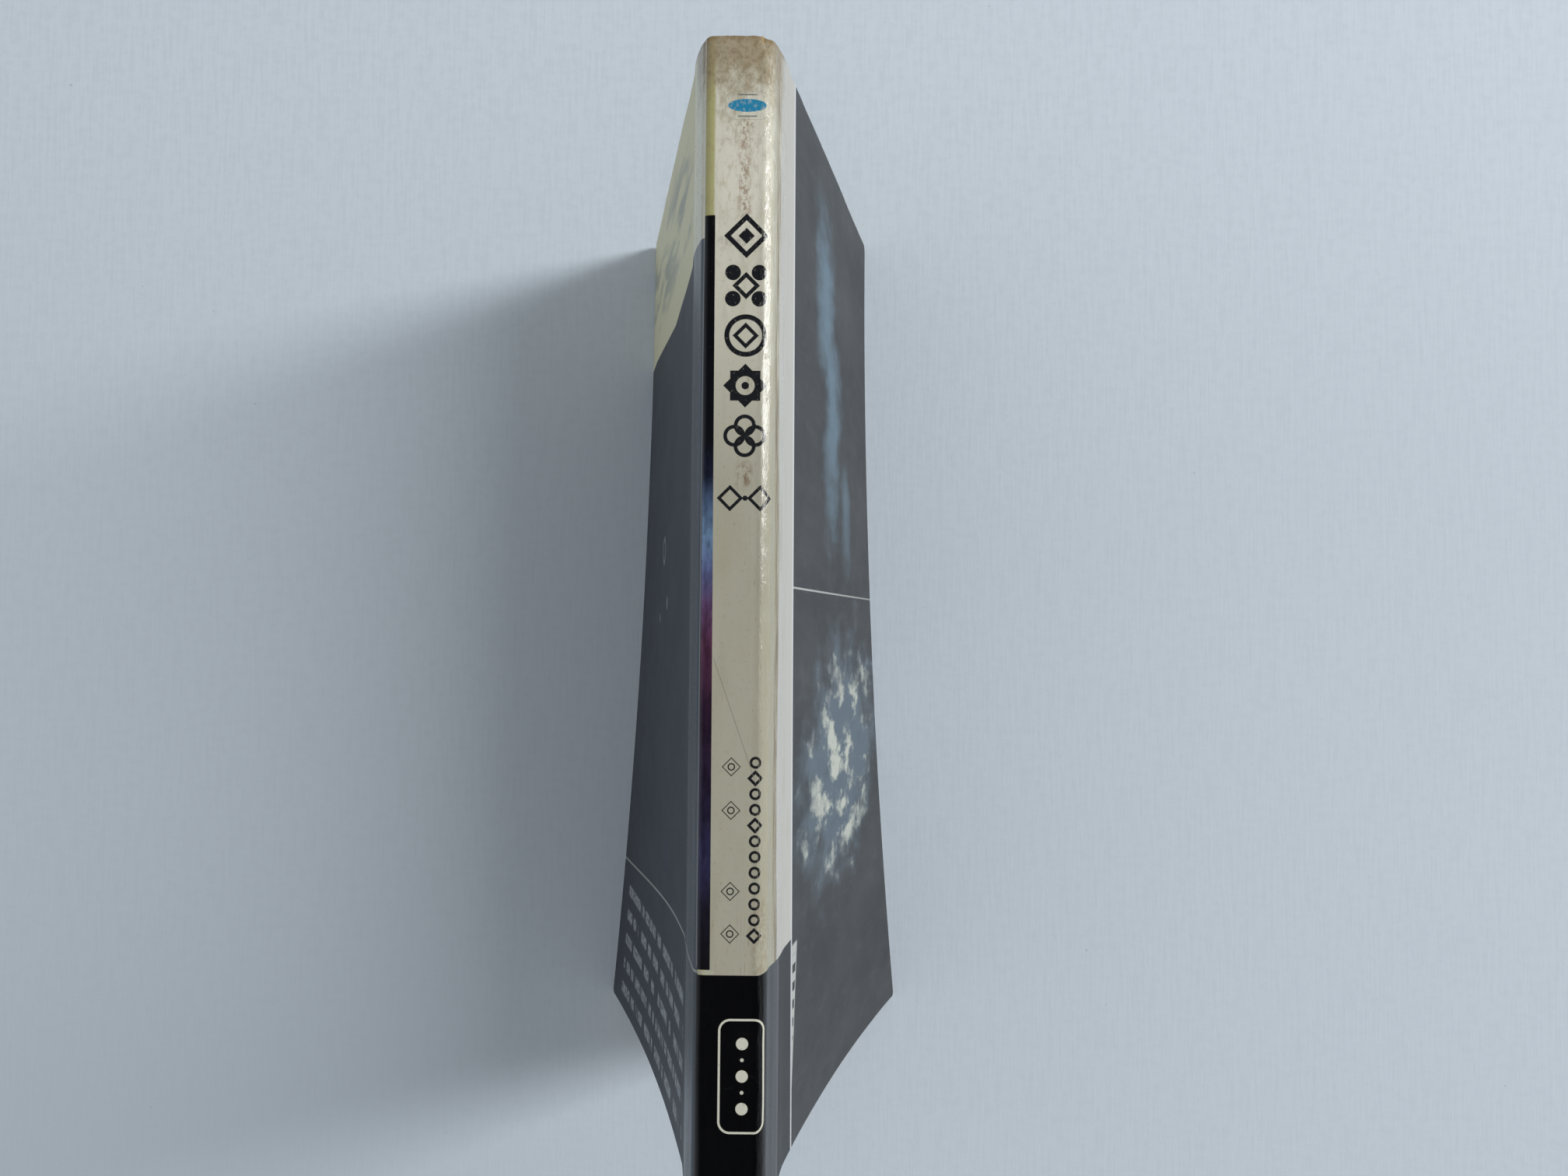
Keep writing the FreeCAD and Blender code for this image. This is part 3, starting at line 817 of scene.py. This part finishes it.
def front_print():
    paint = Paint("front_print", CREAM)
    u, v = paint.u, paint.v
    lay_ground(paint)
    smear = paint.rise(paint.noise(34, 7, 30.0, 4, 0.6), 0.46, 0.60)
    smear = paint.times(smear, paint.rise(u, -14, -26), paint.between(v, 6, 26, 5))
    paint.lay(smear, srgb(122, 134, 138), 0.6)
    lay_fields(paint)
    dark = paint.times(paint.rise(v, 34, 46), paint.rise(v, 148, 138))
    streak = paint.rise(paint.noise(7, 70, 31.0, 3, 0.6), 0.48, 0.72)
    paint.lay(paint.times(streak, dark, paint.rise(v, 90, 130)), srgb(42, 42, 84), 0.5)
    glow = paint.rise(paint.noise(16, 40, 32.0, 3, 0.6), 0.5, 0.8)
    paint.lay(paint.times(glow, dark), srgb(46, 54, 68), 0.6)
    marks = paint.union(paint.outline(paint.disc(-66, 79, 3.0), 0.5),
                        paint.disc(-58, 90, 1.3), paint.disc(-72, 93, 0.9))
    paint.lay(paint.inside(marks, 0.5), srgb(150, 158, 168), 0.55)

    pitch = 5.6
    row = paint.line(v, 1 / pitch, -154.5 / pitch)
    tall = paint.size(paint.plus(paint.math("FRACT", row), -0.5))
    broken = paint.add("ShaderNodeCombineXYZ", paint.times(u, 0.22),
                       paint.times(paint.math("FLOOR", row), 3.7)).outputs[0]
    gaps = paint.add("ShaderNodeTexNoise", broken, noise_dimensions="2D")
    gaps.inputs["Scale"].default_value = 1.0
    bars = paint.times(paint.rise(tall, 0.26, 0.16), paint.rise(gaps.outputs[0], 0.42, 0.5),
                       paint.between(v, 154.5, 182, 0.5), paint.between(u, -104, -20, 1.0))
    speckle = paint.line(paint.rise(paint.noise(1.3, 1.0, 36.0, 2, 0.6), 0.35, 0.6), 0.7, 0.3)
    paint.lay(paint.times(bars, speckle), srgb(164, 169, 174), 0.85)
    rough, height = film(paint, 0.42, 0.2, 40.0, 24.0)
    return paint.finish(rough, height, 0.10)


def back_print():
    paint = Paint("back_print", CREAM)
    u, v = paint.u, paint.v
    lay_ground(paint)
    dirty = paint.rise(paint.noise(4, 14, 33.0, 5, 0.65), 0.5, 0.7)
    paint.lay(paint.times(dirty, paint.rise(u, 26, 20)), srgb(160, 156, 142), 0.3)
    picture = lay_fields(paint)
    beyond = paint.rise(picture, 0.0, 1.5)
    upper, lower = paint.rise(v, LINE_V + 0.5, LINE_V - 0.5), paint.rise(v, LINE_V, LINE_V + 1)
    haze = paint.rise(paint.noise(60, 26, 34.0, 6, 0.66), 0.38, 0.68)
    paint.lay(paint.times(haze, beyond), srgb(62, 62, 62), 0.6)
    grey = paint.rise(paint.noise(9, 3, 38.0, 5, 0.7), 0.5, 0.7)
    paint.lay(paint.times(grey, beyond), srgb(70, 72, 74), 0.35)

    # Soft wisps of pale blue light in the upper field, and a bank of lit mist in the lower
    curl = paint.line(paint.noise(14, 9, 35.0, 5, 0.62), 2.4, -1.2)
    for middle_u, middle_v, half_u, half_v, turn, amount in (
            (56, 30, 9, 17, 0.25, 0.8), (64, 54, 8, 20, -0.12, 0.7), (80, 70, 5, 11, 0.2, 0.5)):
        wisp = paint.plus(paint.oval(middle_u, middle_v, half_u, half_v, turn), curl)
        paint.lay(paint.times(paint.rise(wisp, 0.6, -0.9), beyond, upper), srgb(100, 124, 140), amount)
    bank = paint.plus(paint.oval(72, 122, 36, 20, 0.15), curl)
    paint.lay(paint.times(paint.rise(bank, 0.5, -0.5), beyond, lower), srgb(92, 108, 120), 0.75)
    lit = paint.rise(paint.noise(15, 8, 37.0, 5, 0.6), 0.49, 0.60)
    paint.lay(paint.times(lit, paint.rise(bank, 0.2, -0.5), beyond, lower), srgb(192, 195, 182), 0.85)
    line = paint.rise(paint.size(paint.plus(v, -LINE_V)), 0.24, 0.10)
    dimming = paint.line(paint.share(u, 30, 110), -0.35, 1.0)
    paint.lay(paint.times(line, paint.rise(picture, 0.0, 0.2), dimming), LINE_WHITE)
    paint.lay(paint.rise(paint.size(paint.plus(picture, 0.35)), 0.60, 0.35), srgb(212, 214, 216), 0.75)
    half = paint.blend(paint.share(v, 175, 149), 0.0, 2.2)
    taper = paint.minus(paint.size(paint.minus(picture, half)), half)
    paint.lay(paint.times(paint.inside(taper, 0.12), paint.between(v, 149.6, 175, 0.3)), LINE_WHITE)
    dash = paint.times(paint.inside(paint.plus(taper, 0.6), 0.1), paint.between(v, 151.5, 166, 0.3),
                       paint.rise(paint.math("FRACT", paint.times(v, 0.33)), 0.45, 0.55))
    paint.lay(dash, SLATE)
    rough, height = film(paint, 0.42, 0.2, 40.0, 24.0)
    return paint.finish(rough, height, 0.10)


def bare_card(name, colour):
    """The unprinted side of the card, or its cut edge."""
    paint = Paint(name, colour)
    fibre = paint.noise(0.5, 2.5, 40.0, 4, 0.7)
    paint.lay(paint.rise(fibre, 0.35, 0.7), srgb(190, 176, 140), 0.4)
    paint.lay(paint.rise(paint.noise(7, 9, 41.0, 5, 0.65), 0.55, 0.75), srgb(176, 148, 104), 0.4)
    rim = paint.math("MAXIMUM", paint.rise(paint.v, 7, 0), paint.rise(paint.v, LENGTH - 7, LENGTH))
    paint.lay(rim, srgb(180, 152, 110), 0.4)
    return paint.finish(paint.line(fibre, 0.2, 0.6), fibre, 0.02)


def paper():
    """Aged pulp paper, browner towards its edges."""
    paint = Paint("aged_paper", srgb(232, 220, 190))
    height = paint.math("MODULO", paint.u, LEAF_STEP)
    fibre = paint.noise(0.6, 1.8, 50.0, 5, 0.7)
    tone = paint.noise(LEAF_STEP, 40, 51.0, 2, 0.5)
    paint.lay(paint.rise(tone, 0.3, 0.7), srgb(222, 206, 170), 0.6)
    away = paint.union(paint.v, paint.minus(LENGTH, paint.v), height)
    away = paint.plus(away, paint.line(fibre, 6.0, -3.0))
    paint.lay(paint.rise(away, 12, 0), srgb(214, 194, 154), 0.7)
    paint.lay(paint.rise(fibre, 0.5, 0.8), srgb(188, 164, 122), 0.2)
    paint.lay(paint.rise(paint.noise(2.0, 2.6, 52.0, 3, 0.6), 0.7, 0.78), srgb(128, 88, 48), 0.5)
    paint.shader.inputs["Specular IOR Level"].default_value = 0.2
    return paint.finish(paint.line(fibre, 0.2, 0.75))


def glue():
    paint = Paint("aged_glue", srgb(196, 172, 118), flat_place=False)
    cloud = paint.noise(3, 6, 60.0, 4, 0.6)
    paint.lay(paint.rise(cloud, 0.35, 0.7), srgb(164, 130, 76), 0.7)
    return paint.finish(paint.line(cloud, 0.2, 0.25), cloud, 0.05)


BACKDROP = srgb(204, 210, 216)

# From here to there, away from the book, the board fades into it
BOARD_FADE = 350, 1500


def seen_ray(tree):
    """1 for camera, glossy and transmission rays, and 0 for those that light the object."""
    path = tree.nodes.new("ShaderNodeLightPath")
    result = path.outputs["Is Camera Ray"]
    for kind in ("Is Glossy Ray", "Is Transmission Ray"):
        either = tree.nodes.new("ShaderNodeMath")
        either.operation = "MAXIMUM"
        tree.links.new(result, either.inputs[0])
        tree.links.new(path.outputs[kind], either.inputs[1])
        result = either.outputs[0]
    return result


def board():
    """The pale painted board that the book stands on."""
    paint = Paint("pale_board", srgb(191, 201, 210), 0.7, flat_place=False)
    broad = paint.noise(220, 260, 70.0, 3, 0.5)
    paint.lay(paint.rise(broad, 0.3, 0.7), srgb(196, 206, 214), 0.6)
    # Painted light: the board is laid brighter towards the head side, where more light falls
    paint.lay(paint.rise(paint.v, 0, 170), srgb(202, 213, 222), 0.8)
    # Painted shade: the board is laid darker towards the lower left, on the book's shadow side
    corner = paint.times(paint.rise(paint.v, -30, -160), paint.rise(paint.u, 20, -140))
    paint.lay(corner, srgb(180, 191, 200), 0.9)
    weave = paint.plus(paint.noise(0.9, 12.0, 71.0, 3, 0.6), paint.noise(3.0, 2.0, 72.0, 4, 0.6))
    paint.lay(paint.rise(weave, 0.85, 1.25), srgb(180, 189, 198), 0.25)
    paint.lay(paint.rise(paint.noise(2.2, 2.6, 73.0, 2, 0.5), 0.76, 0.8), srgb(150, 156, 164), 0.4)
    paint.shader.inputs["Specular IOR Level"].default_value = 0.25
    material = paint.finish(None, weave, 0.04)

    # Far off it fades into the backdrop, for what the camera and reflections see
    away = paint.rise(paint.math3("LENGTH", paint.place), *BOARD_FADE)
    far = paint.add("ShaderNodeEmission", BACKDROP, 1.0)
    mix = paint.add("ShaderNodeMixShader", paint.times(away, seen_ray(paint.tree)),
                    paint.shader.outputs[0], far.outputs[0])
    paint.tree.links.new(mix.outputs[0], paint.output.inputs[0])
    return material


# The object's pieces
inside = bare_card("bare_card", srgb(214, 204, 176))
cut = bare_card("card_edge", srgb(222, 216, 200))
spine = make_spine([spine_print(), inside, cut])
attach(spine, "text_block")
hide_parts("cover_spine")

# Each cover's card, printed outside, in place of the CAD model's cover
for name, body, side, printed, seed in (
        ("front_card", "front", -1, front_print(), 101),
        ("back_card", "back", 1, back_print(), 131)):
    cover = make_cover(name, side, [printed, inside, cut], seed)
    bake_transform(cover)
    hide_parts(body + "_cover")

leaves = make_leaves([paper(), paper(), paper()])
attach(leaves, "text_block")
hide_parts("page_block")

glue_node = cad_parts["binding_glue"]
glue_node.data.materials.clear()
glue_node.data.materials.append(glue())

# Floor, lights and camera
HALF_FLOOR = 3.0
FLOOR_GAP = 0.0002
corners = [(-HALF_FLOOR, -HALF_FLOOR, 0), (HALF_FLOOR, -HALF_FLOOR, 0),
           (HALF_FLOOR, HALF_FLOOR, 0), (-HALF_FLOOR, HALF_FLOOR, 0)]
floor_mesh = bpy.data.meshes.new("floor")
floor_mesh.from_pydata(corners, [], [(0, 1, 2, 3)])
floor_mesh.materials.append(board())
floor = bpy.data.objects.new("floor", floor_mesh)
floor.location.z = -FLOOR_GAP
bpy.context.scene.collection.objects.link(floor)

# A soft rectangular lamp that points at the origin, its length about along Y
KEY_PLACE = 1.80, 0.55, 1.55
KEY_WIDTH, KEY_LENGTH, KEY_WATTS = 0.40, 2.1, 48.0
lamp = bpy.data.lights.new("key", "AREA")
lamp.shape, lamp.size, lamp.size_y, lamp.energy = "RECTANGLE", KEY_WIDTH, KEY_LENGTH, KEY_WATTS
key = bpy.data.objects.new("key", lamp)
key.location = KEY_PLACE
key.rotation_mode = "QUATERNION"
key.rotation_quaternion = key.location.to_track_quat("Z", "Y")
bpy.context.scene.collection.objects.link(key)

# An even light from all sides, and what the camera and reflections see in its place
WORLD_COLOUR, WORLD_STRENGTH = (0.95, 0.97, 1.0, 1), 0.46
SKY_TOP = srgb(52, 54, 58)
world = bpy.data.worlds.new("studio")
bpy.context.scene.world = world
world.use_nodes = True
tree = world.node_tree
tree.nodes.clear()
output = tree.nodes.new("ShaderNodeOutputWorld")
mix = tree.nodes.new("ShaderNodeMixShader")
light = tree.nodes.new("ShaderNodeBackground")
light.inputs[0].default_value = WORLD_COLOUR
light.inputs[1].default_value = WORLD_STRENGTH
seen = tree.nodes.new("ShaderNodeBackground")
place = tree.nodes.new("ShaderNodeTexCoord")
height = tree.nodes.new("ShaderNodeSeparateXYZ")
tree.links.new(place.outputs["Generated"], height.inputs[0])
fade = tree.nodes.new("ShaderNodeValToRGB")
tree.links.new(height.outputs[2], fade.inputs[0])
fade.color_ramp.elements[0].position = 0.15
fade.color_ramp.elements[0].color = BACKDROP
fade.color_ramp.elements[1].position = 0.75
fade.color_ramp.elements[1].color = SKY_TOP
tree.links.new(fade.outputs[0], seen.inputs[0])
tree.links.new(seen_ray(tree), mix.inputs[0])
tree.links.new(light.outputs[0], mix.inputs[1])
tree.links.new(seen.outputs[0], mix.inputs[2])
tree.links.new(mix.outputs[0], output.inputs[0])

# The camera as fitted to the photo, its turns in degrees
CAMERA_PLACE, CAMERA_TURN = (0.010298, -0.002450, 0.290682), (1.856, 0.700, 0.491)
SENSOR_WIDTH, FOCAL_LENGTH = 36.0, 27.07
camera_data = bpy.data.cameras.new("camera")
camera_data.sensor_fit = "HORIZONTAL"
camera_data.sensor_width = SENSOR_WIDTH
camera_data.lens = FOCAL_LENGTH
camera = bpy.data.objects.new("camera", camera_data)
camera.location = CAMERA_PLACE
camera.rotation_euler = [math.radians(turn) for turn in CAMERA_TURN]
bpy.context.scene.collection.objects.link(camera)
bpy.context.scene.camera = camera
bpy.context.scene.view_settings.view_transform = "Standard"
